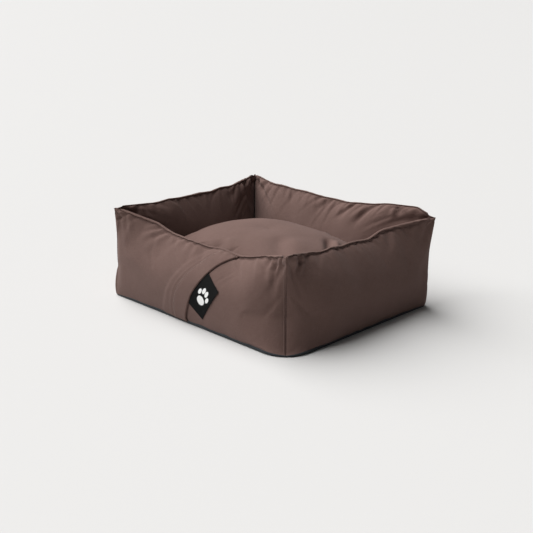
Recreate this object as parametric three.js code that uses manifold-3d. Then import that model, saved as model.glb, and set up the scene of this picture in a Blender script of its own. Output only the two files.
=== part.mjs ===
// Pet cushion bed: a rectangular tray of four stuffed canvas walls on a dark base panel, with a
// loose crowned cushion in its well. The front wall closes with a diagonal overlap and a label.
// Millimetres, +Z up, +X along the long side. The origin is on the floor under the middle.

import * as THREE from 'three';
import { LoftGeometry } from 'three/addons/geometries/LoftGeometry.js';
import { mergeVertices } from 'three/addons/utils/BufferGeometryUtils.js';
import Module from 'manifold-3d';

// The whole bed
const bedLength = 540;
const bedWidth = 440;
const earHeight = 200;
const backRidgeHeight = 194; // middle of the back and left walls
const rightRidgeHeight = 176;
const frontRidgeHeight = 163; // the front wall is pressed lowest
const ridgeInset = 46; // how far the front and right ridges lean in over the middle of the wall
const backRidgeInset = 32; // and the back and left ones
const earInset = 3; // and every ridge at a corner
const cornerRun = 120; // length over which the ridge climbs to a corner

// Stuffed walls
const bulgeHeight = 70; // height of a wall's widest line
const outerFootInset = 14;
const cornerFootInset = 24; // the foot tucks in further at the corners
const innerFootDepth = 98; // outer plane to the foot of the inner face
const innerLean = 22; // how far the inner face leans back above its foot, mid-wall
const cornerInnerLean = 3; // and in the corner valleys
const innerLeanHeight = 100;
const valleyDepth = 45; // hollow of the corner valley
const valleyHeight = 160;
const innerRoll = 22; // depth over which the inner face rolls over to the ridge
const topRoll = 8; // height over which the cloth rolls over to the ridge

// Cloth, seams and gaps
const clothThickness = 1;
const touchGap = 0.3; // between pieces that touch
const ridgeSeamWidth = 5;
const ridgeSeamHeight = 5;
const cornerSeamWidth = 8;

// Base and deck
const basePanelInset = 13;
const basePanelRadius = 34;
const basePanelThickness = 1.2;
const basePadThickness = 7;

// Diagonal overlap on the front wall, and its label
const lapFootX = - 34;
const lapRidgeX = 92;
const lapCurve = 1.6; // 1 would be a straight edge
const lapDepth = 60; // how far one panel runs under the other
const lapRise = 2; // length over which the upper panel steps onto the lower one
const labelLength = 75;
const labelWidth = 52;
const labelThickness = 0.8;
const labelFootAlong = 48; // up the cloth from the foot of the wall to the label's low corner
const labelEdgeGap = 0.7;
const labelLift = 0.5; // above the lower cloth

// Seat cushion
const cushionClearance = 6; // to the walls all round
const cushionCornerRadius = 60;
const cushionEdgeHeight = 130; // where the side turns into the crown
const cushionCrownHeight = 162;
const cushionCrownPower = 2.6; // higher is flatter on top
const cushionFootTuck = 14; // rounding of the lower edge, in from the side
const cushionFootRise = 12; // and up from the deck
const cushionEdgeTuck = 3;
const cushionUprightFrom = 36; // the side follows the walls from here
const cushionSeamHeight = 75;

// Zip in the cushion's rear seam
const zipEndMargin = 10; // from each end stop to the rounded corner of the cushion
const zipBandHalf = 15; // flat band above and below the seam that carries the zip
const zipChainWidth = 6;
const zipChainThickness = 2;
const zipTapeWidth = 10;
const zipTapeThickness = 0.8;
const zipStopLength = 4;
const sliderLength = 9;
const sliderCheek = 1.2;
const sliderRoof = 1.2;
const sliderBevel = 0.6;

// Colours
const canvasBrown = 0x735951;
const baseCharcoal = 0x3a3a3c;
const fillingWhite = 0xe9e6df;
const labelBlack = 0x141414;
const zipBrown = 0x4b3832;
const sliderGrey = 0x8b8a88;

const lowSteps = 4; // points up the outer face, below and above its widest line
const highSteps = 6;
const climbSteps = 5; // between the corner seam and the start of the climb
const wallFootZ = basePanelThickness + touchGap;
const deckZ = wallFootZ + basePadThickness + touchGap;
const deckTopZ = deckZ + clothThickness;
const cornerSeamEdges = [ clothThickness, clothThickness + cornerSeamWidth ];
const lerp = THREE.MathUtils.lerp;

function cloth( color ) {

	return new THREE.MeshStandardMaterial( { color, roughness: 0.95, metalness: 0 } );

}

function part( name, geometry, material, parent ) {

	const mesh = new THREE.Mesh( geometry, material );
	mesh.name = name;
	parent.add( mesh );
	return mesh;

}

// Boolean cut of one closed solid by another

const wasm = await Module();
wasm.setup();

function toManifold( geometry ) {

	const bare = new THREE.BufferGeometry().copy( geometry );
	bare.deleteAttribute( 'normal' );
	bare.deleteAttribute( 'uv' );
	const merged = mergeVertices( bare );
	const vertProperties = new Float32Array( merged.attributes.position.array );
	const triVerts = new Uint32Array( merged.index.array );
	return new wasm.Manifold( new wasm.Mesh( { numProp: 3, vertProperties, triVerts } ) );

}

function cut( solid, tool ) {

	const mesh = toManifold( solid ).subtract( toManifold( tool ) ).getMesh();
	const geometry = new THREE.BufferGeometry();
	geometry.setAttribute( 'position', new THREE.BufferAttribute( mesh.vertProperties, 3 ) );
	geometry.setIndex( new THREE.BufferAttribute( mesh.triVerts, 1 ) );
	geometry.computeVertexNormals();
	return geometry;

}

// Value at `at` in a list of [ position, value ] pairs that rises in position
function interpolate( pairs, at ) {

	const last = pairs.length - 2;
	const next = pairs.findIndex( ( pair ) => pair[ 0 ] > at );
	const i = next < 0 ? last : Math.min( Math.max( next - 1, 0 ), last );
	const [ from, to ] = [ pairs[ i ], pairs[ i + 1 ] ];
	return lerp( from[ 1 ], to[ 1 ], ( at - from[ 0 ] ) / ( to[ 0 ] - from[ 0 ] ) );

}

// The four walls, each with its half-length, the distance of its outer plane from the middle of
// the bed, and the height and inset of its ridge, mid-wall
const walls = [
	{ side: 'front', half: bedLength / 2, away: bedWidth / 2, ridge: frontRidgeHeight, inset: ridgeInset },
	{ side: 'right', half: bedWidth / 2, away: bedLength / 2, ridge: rightRidgeHeight, inset: ridgeInset },
	{ side: 'back', half: bedLength / 2, away: bedWidth / 2, ridge: backRidgeHeight, inset: backRidgeInset },
	{ side: 'left', half: bedWidth / 2, away: bedLength / 2, ridge: backRidgeHeight, inset: backRidgeInset }
];

// ---- Wall section: x is the depth in from the outer plane, y is the height ----

function curve( a, b, c, d, steps ) {

	const points = [ a, b, c, d ].map( ( [ x, y ] ) => new THREE.Vector2( x, y ) );
	return new THREE.CubicBezierCurve( ...points ).getPoints( steps );

}

// The two seen faces of a wall, each from foot to ridge, and the ridge seam's seat. `corner` runs
// from 0 along the middle of the wall to 1 at its mitred end. The inner face is upright as far as
// the deck.
function wallSection( wall, corner ) {

	const seamRoom = ridgeSeamWidth / 2 + touchGap;
	const inset = lerp( wall.inset, earInset, corner );
	const top = lerp( wall.ridge, earHeight, corner ) - ridgeSeamHeight - touchGap;
	const foot = lerp( outerFootInset, cornerFootInset, corner );
	const shoulder = lerp( top, bulgeHeight, 0.45 );
	const low = curve( [ foot, wallFootZ ], [ foot * 0.3, bulgeHeight * 0.1 ],
		[ 0, bulgeHeight * 0.5 ], [ 0, bulgeHeight ], lowSteps );
	const high = curve( [ 0, bulgeHeight ], [ 0, shoulder ],
		[ inset * 0.4, lerp( top - topRoll, shoulder, corner ) ], [ inset - seamRoom, top ],
		highSteps );
	const inner = curve( [ innerFootDepth, deckTopZ ],
		[ innerFootDepth - lerp( innerLean, cornerInnerLean, corner ), innerLeanHeight ],
		[ lerp( inset + innerRoll, valleyDepth, corner ),
			lerp( top - topRoll, valleyHeight, corner ) ],
		[ inset + seamRoom, top ], lowSteps + highSteps - 1 );
	const ridge = new THREE.Vector2( inset, top + touchGap );
	return {
		outer: [ ...low, ...high.slice( 1 ) ],
		inner: [ new THREE.Vector2( innerFootDepth, wallFootZ ), ...inner ],
		ridge
	};

}

// ---- Walls: local x runs along the wall, y goes in from its outer plane ----

// Stations along a wall, as [ share of the half-length, corner weight ]
function stations( half ) {

	const distances = [ 0, ...cornerSeamEdges ];
	for ( let k = 1; k <= climbSteps; k ++ ) {

		distances.push( lerp( cornerSeamEdges[ 1 ], cornerRun, k / climbSteps ) );

	}

	const left = distances.map( ( distance ) =>
		[ distance / half - 1, ( 1 - distance / cornerRun ) ** 2 ] );
	const right = left.map( ( [ u, weight ] ) => [ - u, weight ] ).reverse();
	return [ ...left, ...right ];

}

// One row of points for each station. A row lies in a plane that leans with the mitre, fully at
// the ends of the wall and not at all at its middle, so the ends of two walls meet.
function wallRows( wall, pointsOf ) {

	return stations( wall.half ).map( ( [ lean, weight ] ) => {

		const section = pointsOf( wallSection( wall, weight ) );
		const points = section.map( ( p ) =>
			new THREE.Vector3( lean * ( wall.half - p.x - touchGap ), p.x, p.y ) );
		return { lean, points };

	} );

}

// A face is its rows along the wall, and the way its cloth looks: 1 into the well, - 1 out
function wallFace( wall, name ) {

	const rows = wallRows( wall, ( section ) => section[ name ] );
	return { rows, looks: name === 'inner' ? 1 : - 1 };

}

// The face moved out by one distance for each row. Each point stays in its row's plane, and the
// foot keeps its height.
function offsetRows( { rows, looks }, distances ) {

	const near = ( list, i ) => list[ THREE.MathUtils.clamp( i, 0, list.length - 1 ) ];
	return rows.map( ( { lean, points }, i ) => points.map( ( point, j ) => {

		const along = near( rows, i + 1 ).points[ j ].clone().sub( near( rows, i - 1 ).points[ j ] );
		const up = near( points, j + 1 ).clone().sub( near( points, j - 1 ) );
		const normal = up.cross( along ).normalize().multiplyScalar( looks );
		const step = new THREE.Vector3( - lean * normal.y, normal.y, j === 0 ? 0 : normal.z );
		return point.clone().addScaledVector( step, distances[ i ] / step.dot( normal ) );

	} ) );

}

// Closed solid between two sets of rows that follow one another along +x, from foot to ridge, the
// right one further in. Every layer is split along the same diagonals, so that nested layers keep
// their gap where a wall twists.
function solidBetween( rightRows, leftRows ) {

	const count = rightRows[ 0 ].length;
	const end = rightRows.length - 1;
	const points = rightRows.flatMap( ( row, i ) => [ ...row, ...leftRows[ i ] ] );
	const index = [];
	const right = ( i, j ) => i * 2 * count + j;
	const left = ( i, j ) => right( i, j ) + count;
	const quad = ( a, b, c, d ) => index.push( a, b, c, a, c, d );

	for ( let i = 0; i < end; i ++ ) {

		for ( let j = 0; j < count - 1; j ++ ) {

			quad( right( i, j ), right( i, j + 1 ), right( i + 1, j + 1 ), right( i + 1, j ) );
			quad( left( i + 1, j + 1 ), left( i, j + 1 ), left( i, j ), left( i + 1, j ) );

		}

		const top = count - 1;
		quad( left( i, 0 ), right( i, 0 ), right( i + 1, 0 ), left( i + 1, 0 ) );
		quad( right( i, top ), left( i, top ), left( i + 1, top ), right( i + 1, top ) );

	}

	for ( let j = 0; j < count - 1; j ++ ) {

		quad( left( 0, j ), left( 0, j + 1 ), right( 0, j + 1 ), right( 0, j ) );
		quad( right( end, j ), right( end, j + 1 ), left( end, j + 1 ), left( end, j ) );

	}

	const geometry = new THREE.BufferGeometry().setFromPoints( points );
	geometry.setIndex( index );
	geometry.computeVertexNormals();
	return geometry;

}

// The rows of a face at one distance from it all along
function evenRows( face, distance ) {

	return offsetRows( face, face.rows.map( () => distance ) );

}

// A layer of cloth between two distances out from the seen face
function clothLayer( face, near, far ) {

	const [ right, left ] = face.looks > 0 ? [ far, near ] : [ near, far ];
	return solidBetween( evenRows( face, right ), evenRows( face, left ) );

}

function bolsterFilling( wall ) {

	const depth = - clothThickness - touchGap;
	return solidBetween( evenRows( wallFace( wall, 'inner' ), depth ),
		evenRows( wallFace( wall, 'outer' ), depth ) );

}

function ridgeSeam( wall ) {

	const side = ridgeSeamWidth / 2;
	const half = [ [ side, 0 ], [ side, 0.6 ], [ side / 2, 1 ] ];
	const rows = ( sign ) => wallRows( wall, ( { ridge } ) => half.map( ( [ x, y ] ) =>
		new THREE.Vector2( ridge.x + sign * x, ridge.y + y * ridgeSeamHeight ) ) );
	const points = ( sign ) => rows( sign ).map( ( row ) => row.points );
	return solidBetween( points( 1 ), points( - 1 ) );

}

// A flat-felled seam down one end of a wall; `end` is - 1 or 1
function cornerSeam( wall, end ) {

	const face = wallFace( wall, 'outer' );
	const keep = end > 0 ? [ - 3, - 1 ] : [ 1, 3 ];
	return solidBetween( evenRows( face, touchGap ).slice( ...keep ),
		evenRows( face, touchGap + clothThickness ).slice( ...keep ) );

}

// ---- Diagonal overlap of the front wall ----

// Lengths up the cloth from its foot to each point
function lengthsUp( points ) {

	const lengths = [ 0 ];
	for ( let i = 1; i < points.length; i ++ ) {

		lengths.push( lengths[ i - 1 ] + points[ i ].distanceTo( points[ i - 1 ] ) );

	}

	return lengths;

}

function lapEdgeX( share ) {

	return lapFootX + ( lapRidgeX - lapFootX ) * share ** lapCurve;

}

// A row of the front cloth that runs parallel to the overlap's edge
function lapRow( wall, shift ) {

	const { outer } = wallSection( wall, 0 );
	const lengths = lengthsUp( outer );
	const points = outer.map( ( p, i ) =>
		new THREE.Vector3( lapEdgeX( lengths[ i ] / lengths.at( - 1 ) ) + shift, p.x, p.y ) );
	return { lean: 0, points };

}

// The rows of the front face at one end, from the mitre to where the climb starts
function endRows( face, end ) {

	const middle = face.rows.length / 2;
	return end < 0 ? face.rows.slice( 0, middle ) : face.rows.slice( middle );

}

function frontOverlap( wall ) {

	const face = wallFace( wall, 'outer' );
	const step = - lapDepth - touchGap * 2;
	const flat = [ ...endRows( face, - 1 ), lapRow( wall, step - lapRise ) ];
	const raised = [ lapRow( wall, step ), lapRow( wall, 0 ) ];
	const rows = [ ...flat, ...raised ];
	const lift = rows.map( ( row, i ) => i < flat.length ? - clothThickness : touchGap );
	const sheet = { ...face, rows };
	return solidBetween( offsetRows( sheet, lift ),
		offsetRows( sheet, lift.map( ( distance ) => distance + clothThickness ) ) );

}

function frontUnderlap( wall ) {

	const face = wallFace( wall, 'outer' );
	const rows = [ lapRow( wall, - lapDepth ), ...endRows( face, 1 ) ];
	return clothLayer( { ...face, rows }, - clothThickness, 0 );

}

// The label lies on the lower cloth with its long side against the overlap's edge
function label( wall ) {

	const { outer } = wallSection( wall, 0 );
	const lengths = lengthsUp( outer );
	const depths = lengths.map( ( length, i ) => [ length, outer[ i ].x ] );
	const heights = lengths.map( ( length, i ) => [ length, outer[ i ].y ] );
	const edge = ( along ) => new THREE.Vector2( lapEdgeX( along / lengths.at( - 1 ) ), along );
	const low = edge( labelFootAlong );
	const leaning = 0.86; // the label's rise for each unit of its length
	const upTheEdge = edge( labelFootAlong + labelLength * leaning ).sub( low ).normalize();
	const across = new THREE.Vector2( upTheEdge.y, - upTheEdge.x );
	const steps = { across: 5, up: 8 };
	const rows = [];
	for ( let i = 0; i <= steps.across; i ++ ) {

		const points = [];
		for ( let j = 0; j <= steps.up; j ++ ) {

			const at = low.clone().addScaledVector( upTheEdge, labelLength * j / steps.up )
				.addScaledVector( across, labelEdgeGap + labelWidth * i / steps.across );
			points.push( new THREE.Vector3( at.x, interpolate( depths, at.y ),
				interpolate( heights, at.y ) ) );

		}

		rows.push( { lean: 0, points } );

	}

	return clothLayer( { rows, looks: - 1 }, labelLift, labelLift + labelThickness );

}

// ---- Flat pieces of the base ----

function roundedPlate( halfX, halfY, radius, thickness ) {

	const shape = new THREE.Shape();
	shape.moveTo( halfX, - halfY + radius );
	shape.absarc( halfX - radius, halfY - radius, radius, 0, Math.PI / 2 );
	shape.absarc( - halfX + radius, halfY - radius, radius, Math.PI / 2, Math.PI );
	shape.absarc( - halfX + radius, - halfY + radius, radius, Math.PI, Math.PI * 1.5 );
	shape.absarc( halfX - radius, - halfY + radius, radius, Math.PI * 1.5, Math.PI * 2 );
	return new THREE.ExtrudeGeometry( shape, { depth: thickness, bevelEnabled: false, curveSegments: 6 } );

}

// ---- Cushion ----

// How far the walls reach into the well at a height
function wellDepth( z ) {

	const depths = walls.map( ( wall ) => {

		const { inner } = wallSection( wall, 0 );
		return interpolate( inner.map( ( p ) => [ p.y, p.x ] ), z );

	} );
	return Math.max( ...depths );

}

const cushionFootZ = deckTopZ + touchGap;
const zipBand = [ cushionSeamHeight - zipBandHalf, cushionSeamHeight + zipBandHalf ];

// Side of the cushion, as [ height, depth in from the bed's outer plane ]
const cushionSide = [
	[ cushionFootZ, cushionFootTuck ],
	[ cushionFootZ + cushionFootRise, cushionEdgeTuck ],
	[ cushionUprightFrom, 0 ],
	[ zipBand[ 0 ], 0 ],
	[ zipBand[ 1 ], 0 ],
	[ cushionEdgeHeight - cushionFootTuck, 0 ],
	[ cushionEdgeHeight, cushionEdgeTuck ]
].map( ( [ z, tuck ] ) => [ z, wellDepth( z ) + cushionClearance + tuck ] );

// Rounded rectangle about the middle of the bed, counterclockwise from above
function cushionRing( depth, z, scale, inset ) {

	const halfX = ( bedLength / 2 - depth ) * scale - inset;
	const halfY = ( bedWidth / 2 - depth ) * scale - inset;
	const radius = Math.max( cushionCornerRadius * scale - inset, 1 );
	const arcSteps = 5;
	const ring = [];
	for ( let quarter = 0; quarter < 4; quarter ++ ) {

		const signX = quarter === 0 || quarter === 3 ? 1 : - 1;
		const signY = quarter < 2 ? 1 : - 1;
		for ( let i = 0; i <= arcSteps; i ++ ) {

			const angle = ( quarter + i / arcSteps ) * Math.PI / 2;
			ring.push( new THREE.Vector3(
				signX * ( halfX - radius ) + Math.cos( angle ) * radius,
				signY * ( halfY - radius ) + Math.sin( angle ) * radius,
				z
			) );

		}

	}

	return ring;

}

function loft( rings ) {

	return new LoftGeometry( rings, { closed: true, capStart: true, capEnd: true } );

}

function sideRings( from, to, inset ) {

	const between = cushionSide.map( ( [ z ] ) => z ).filter( ( z ) => z > from && z < to );
	return [ from, ...between, to ].map( ( z ) =>
		cushionRing( interpolate( cushionSide, z ), z, 1, inset ) );

}

function crownRings( inset ) {

	const edge = interpolate( cushionSide, cushionEdgeHeight );
	const rise = cushionCrownHeight - inset - cushionEdgeHeight;
	const shares = [ 0.95, 0.88, 0.78, 0.64, 0.45, 0.2 ];
	return shares.map( ( share ) => cushionRing( edge,
		cushionEdgeHeight + rise * ( 1 - share ** cushionCrownPower ), share, inset ) );

}

function cushionCovers() {

	const seam = touchGap / 2;
	const overcut = 10;
	const footInside = cushionFootZ + clothThickness;
	const low = loft( sideRings( cushionFootZ, cushionSeamHeight - seam, 0 ) );
	const lowCavity = loft( sideRings( footInside, cushionSeamHeight + overcut, clothThickness ) );
	const high = loft( [
		...sideRings( cushionSeamHeight + seam, cushionEdgeHeight, 0 ), ...crownRings( 0 )
	] );
	const highCavity = loft( [
		...sideRings( cushionSeamHeight - overcut, cushionEdgeHeight, clothThickness ),
		...crownRings( clothThickness )
	] );
	return { bottom: cut( low, lowCavity ), top: cut( high, highCavity ) };

}

function cushionFilling() {

	const inset = clothThickness + touchGap;
	return loft( [
		...sideRings( cushionFootZ + inset, cushionEdgeHeight, inset ), ...crownRings( inset )
	] );

}

// ---- Zip: local x runs along the seam, y points out of the cushion, z up its side ----

function block( x, y, z, [ cx, cy, cz ] ) {

	return new THREE.BoxGeometry( x, y, z ).translate( cx, cy, cz );

}

function sliderBody() {

	const tapeTop = touchGap + zipTapeThickness;
	const chainTop = touchGap + zipChainThickness;
	const insideHalf = zipChainWidth / 2 + touchGap;
	const outsideHalf = insideHalf + sliderCheek;
	const low = tapeTop + touchGap;
	const roof = chainTop + touchGap;
	const outline = [
		[ - outsideHalf, low ], [ - insideHalf, low ], [ - insideHalf, roof ],
		[ insideHalf, roof ], [ insideHalf, low ], [ outsideHalf, low ],
		[ outsideHalf - sliderBevel, roof + sliderRoof ],
		[ sliderBevel - outsideHalf, roof + sliderRoof ]
	];
	const shape = new THREE.Shape( outline.map( ( [ x, y ] ) => new THREE.Vector2( x, y ) ) );
	const body = new THREE.ExtrudeGeometry( shape, { depth: sliderLength, bevelEnabled: false } );
	body.translate( 0, 0, - sliderLength / 2 );
	return body.rotateY( - Math.PI / 2 );

}

function addZip( parent ) {

	const [ low, high ] = zipBand.map( ( z ) => interpolate( cushionSide, z ) );
	const seamDepth = ( low + high ) / 2;
	const straightRun = bedLength - 2 * ( seamDepth + cushionCornerRadius );
	const zipLength = straightRun - 2 * ( zipEndMargin + zipStopLength );
	const zip = new THREE.Group();
	zip.position.set( 0, bedWidth / 2 - seamDepth, cushionSeamHeight );
	zip.rotation.x = - Math.atan2( low - high, zipBand[ 1 ] - zipBand[ 0 ] );
	parent.add( zip );

	const tapeY = touchGap + zipTapeThickness / 2;
	const tapeZ = zipChainWidth / 2 + touchGap + zipTapeWidth / 2;
	const chainY = touchGap + zipChainThickness / 2;
	for ( const [ name, side ] of [ [ 'upper', 1 ], [ 'lower', - 1 ] ] ) {

		const tape = block( zipLength, zipTapeThickness, zipTapeWidth, [ 0, tapeY, side * tapeZ ] );
		part( `zip_tape_${ name }`, tape, cloth( zipBrown ), zip );

	}

	part( 'zip_chain', block( zipLength, zipChainThickness, zipChainWidth, [ 0, chainY, 0 ] ),
		cloth( zipBrown ), zip );

	for ( const [ name, side ] of [ [ 'left', - 1 ], [ 'right', 1 ] ] ) {

		const x = side * ( zipLength / 2 + touchGap + zipStopLength / 2 );
		const stop = block( zipStopLength, zipChainThickness, zipChainWidth, [ x, chainY, 0 ] );
		part( `zip_stop_${ name }`, stop, cloth( sliderGrey ), zip );

	}

	const slider = part( 'zip_slider', sliderBody(), cloth( sliderGrey ), zip );
	slider.material.metalness = 0.8;
	slider.material.roughness = 0.4;
	slider.position.x = - zipLength / 2 + sliderLength / 2;

}

// ---- Assembly ----

const bed = new THREE.Group();
const canvas = cloth( canvasBrown );

function addWall( wall, quarterTurns ) {

	const turned = new THREE.Group();
	turned.rotation.z = quarterTurns * Math.PI / 2;
	const group = new THREE.Group();
	group.position.y = - wall.away;
	turned.add( group );
	bed.add( turned );

	part( `bolster_filling_${ wall.side }`, bolsterFilling( wall ), cloth( fillingWhite ), group );
	part( `inner_panel_${ wall.side }`,
		clothLayer( wallFace( wall, 'inner' ), - clothThickness, 0 ), canvas, group );
	part( `ridge_seam_${ wall.side }`, ridgeSeam( wall ), canvas, group );

	if ( wall.side === 'front' ) {

		part( 'front_panel_overlap', frontOverlap( wall ), canvas, group );
		part( 'front_panel_underlap', frontUnderlap( wall ), canvas, group );
		part( 'label', label( wall ), cloth( labelBlack ), group );

	} else {

		part( `outer_panel_${ wall.side }`,
			clothLayer( wallFace( wall, 'outer' ), - clothThickness, 0 ), canvas, group );

	}

	if ( wall.side === 'front' || wall.side === 'back' ) {

		const ends = wall.side === 'front' ? [ 'left', 'right' ] : [ 'right', 'left' ];
		part( `corner_seam_${ wall.side }_${ ends[ 0 ] }`, cornerSeam( wall, - 1 ), canvas, group );
		part( `corner_seam_${ wall.side }_${ ends[ 1 ] }`, cornerSeam( wall, 1 ), canvas, group );

	}

}

walls.forEach( addWall );

function addBase() {

	const base = roundedPlate( bedLength / 2 - basePanelInset, bedWidth / 2 - basePanelInset,
		basePanelRadius, basePanelThickness );
	part( 'base_panel', base, cloth( baseCharcoal ), bed );

	const wellX = bedLength - 2 * ( innerFootDepth + touchGap );
	const wellY = bedWidth - 2 * ( innerFootDepth + touchGap );
	const pad = new THREE.BoxGeometry( wellX, wellY, basePadThickness );
	part( 'base_pad', pad, cloth( fillingWhite ), bed ).position.z = wallFootZ + basePadThickness / 2;
	const deck = new THREE.BoxGeometry( wellX, wellY, clothThickness );
	part( 'deck_panel', deck, canvas, bed ).position.z = deckZ + clothThickness / 2;

}

addBase();

function addCushion() {

	const cushion = new THREE.Group();
	const covers = cushionCovers();
	part( 'cushion_cover_top', covers.top, canvas, cushion );
	part( 'cushion_cover_bottom', covers.bottom, canvas, cushion );
	part( 'cushion_filling', cushionFilling(), cloth( fillingWhite ), cushion );
	addZip( cushion );
	bed.add( cushion );

}

addCushion();

export default bed;
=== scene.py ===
"""Pet cushion bed: four stuffed canvas walls round a well, a dark base and a loose crowned cushion.

Lengths are in metres, +Z is up, and every shape is a grid of points worked out from the frame.
"""

import math

import bpy
import numpy as np
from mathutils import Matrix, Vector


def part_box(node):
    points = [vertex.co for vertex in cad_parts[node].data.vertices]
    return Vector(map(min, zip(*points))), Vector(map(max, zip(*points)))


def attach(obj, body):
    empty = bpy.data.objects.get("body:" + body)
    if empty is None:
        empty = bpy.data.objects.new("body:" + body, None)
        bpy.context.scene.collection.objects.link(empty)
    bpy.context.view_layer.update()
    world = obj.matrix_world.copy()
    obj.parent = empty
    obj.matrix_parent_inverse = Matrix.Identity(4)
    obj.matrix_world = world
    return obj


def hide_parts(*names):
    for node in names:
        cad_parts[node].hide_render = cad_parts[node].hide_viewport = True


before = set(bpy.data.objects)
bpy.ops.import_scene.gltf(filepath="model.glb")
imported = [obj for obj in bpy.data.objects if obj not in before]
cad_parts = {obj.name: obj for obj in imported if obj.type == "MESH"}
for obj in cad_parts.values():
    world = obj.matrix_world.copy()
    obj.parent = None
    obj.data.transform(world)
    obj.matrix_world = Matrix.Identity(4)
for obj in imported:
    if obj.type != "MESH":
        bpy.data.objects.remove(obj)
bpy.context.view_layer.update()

# ---- Sizes ----

MM = 0.001
WALLS = ("front", "right", "back", "left")
CORNERS = ("front_left", "front_right", "back_right", "back_left")

SIM_STEP = 6.5 * MM      # spacing of the stuffed shell before it is finished
FINE_STEP = 3.0 * MM     # and after
CLOTH = 0.9 * MM
FILLING_GAP = 8 * MM     # at its foot the filling stays this far inside the unfolded cloth
FILLING_TOP_GAP = 16 * MM   # and this far at its top, clear of the folds that run down from the ridge
FILLING_TOP_ROWS = 7     # rows below the ridge that the filling doesn't reach into

EAR_HEIGHT = {"front_left": 0.202, "front_right": 0.199, "back_right": 0.199, "back_left": 0.205}
EAR_INSET = {"front_left": 0.008, "front_right": 0.026, "back_right": -0.004, "back_left": 0.006}
EAR_CLIMB = 0.150        # length over which a ridge climbs to an ear
EAR_PEAK = 15 * MM       # the back wall's ridge peaks beside its right ear,
EAR_PEAK_RUN = 42 * MM   # this far from the corner
EAR_BLUNT = {"front_left": 4 * MM, "front_right": 2 * MM, "back_right": 3 * MM, "back_left": 1 * MM}
CORNER_RUN = 0.105       # length over which a wall turns into its corner
RIDGE_RUN = 0.080        # and over which its ridge does
VALLEY_RUN = 0.050       # and its inner face into the valley
# Radius of each upright corner at the walls' widest line, half-way below it, and at the foot
CORNER_ROUND = {"front_left": (0.032, 0.004, 0.014), "front_right": (0.112, 0.092, 0.064),
                "back_right": (0.008, 0.012, 0.016), "back_left": (0.012, 0.016, 0.020)}
# How far a wall's whole face is drawn in towards each corner
CORNER_SWEEP = {"front_left": 0, "front_right": 9 * MM, "back_right": 0, "back_left": 0}
SWEEP_RUN = 0.260        # and over what length
BULGE_HEIGHT = 0.070     # height of a wall's widest line
FOOT_INSET = 1.5 * MM    # the foot lies this far in from it,
CORNER_FOOT_INSET = 1.5 * MM   # and at the corners
FOOT_LIFT = 6 * MM       # the canvas edge rises off the floor between the corners
CORNER_FOOT_LIFT = 1.2 * MM
INNER_FOOT = 98 * MM     # thickness of a wall at the deck
INNER_LEAN = 22 * MM     # how far its inner face swells out above that
VALLEY_DEPTH = 30 * MM   # in an inner corner the face starts this deep
VALLEY_LEAN = 36 * MM    # and swells this far,
VALLEY_HEIGHT = 0.160    # from this height
ROLL = 22 * MM           # reach of the inner face's roll below the ridge
TOP_ROLL = 8 * MM        # and its drop
RIDGE_SEAM = 5 * MM      # width and height of the raised ridge seam's solid
RIDGE_RISE = {"front": 0, "right": 1 * MM, "back": 6 * MM, "left": 3 * MM}   # the filling lifts it

HEM = 38 * MM            # width of the overlap's hem
# Where the overlap's free edge lies, from foot to ridge: share of the way up and distance along
LAP_EDGE = ((0, -14 * MM), (0.07, -17 * MM), (0.14, -15 * MM), (0.24, -6 * MM),
            (0.63, 47 * MM), (0.78, 67 * MM), (0.90, 83 * MM), (1.0, 95 * MM))
LAP_DEPTH = 60 * MM      # the lower panel runs this far in under it
LAP_FINE = 60 * MM       # near its free edge the overlap's cloth is finely spaced
LABEL = (50 * MM, 86 * MM)
LABEL_CORNER = (-5 * MM, 53 * MM)   # its lowest point on the overlap's edge: along and height
LABEL_LEAN = math.radians(55)

# What stuffs a shell: pressure, frames of simulation and share of spare cloth
WALL_STUFFING = 6.0, 20, 0.035
CUSHION_STUFFING = 4.0, 14, 0.04

rng = np.random.default_rng(7)

OUTER_PLANE = {
    "front": -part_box("front_panel_overlap")[0].y,
    "right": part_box("outer_panel_right")[1].x,
    "back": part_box("outer_panel_back")[1].y,
    "left": -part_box("outer_panel_left")[0].x,
}
DECK_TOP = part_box("deck_panel")[1].z
WALL_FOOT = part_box("base_panel")[1].z


# ---- Arithmetic on whole arrays ----

def mix(a, b, share):
    return a + (b - a) * share


def ease(share):
    """Rises smoothly from 0 to 1 as share goes from 0 to 1."""
    share = np.clip(share, 0, 1)
    return share * share * (3 - 2 * share)


def bump(at, centre, width):
    """A bell of height 1 at centre, width being its half-width."""
    return np.exp(-((at - centre) / width) ** 2)


def unit(vectors):
    length = np.linalg.norm(vectors, axis=-1, keepdims=True)
    return vectors / np.maximum(length, 1e-9)


def bezier(controls, t):
    """Cubic curves, one for each column: controls are four (depth, height) pairs of columns."""
    a, b, c, d = [np.stack(np.broadcast_arrays(*p), -1)[:, None, :] for p in controls]
    t = t[None, :, None]
    return (1 - t) ** 3 * a + 3 * t * (1 - t) ** 2 * b + 3 * t ** 2 * (1 - t) * c + t ** 3 * d


def blend_weights(f):
    """The four shares of neighbouring points in a smooth curve through them, at f past the second."""
    return [
        (-f + 2 * f ** 2 - f ** 3) / 2,
        (2 - 5 * f ** 2 + 3 * f ** 3) / 2,
        (f + 4 * f ** 2 - 3 * f ** 3) / 2,
        (-f ** 2 + f ** 3) / 2,
    ]


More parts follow.
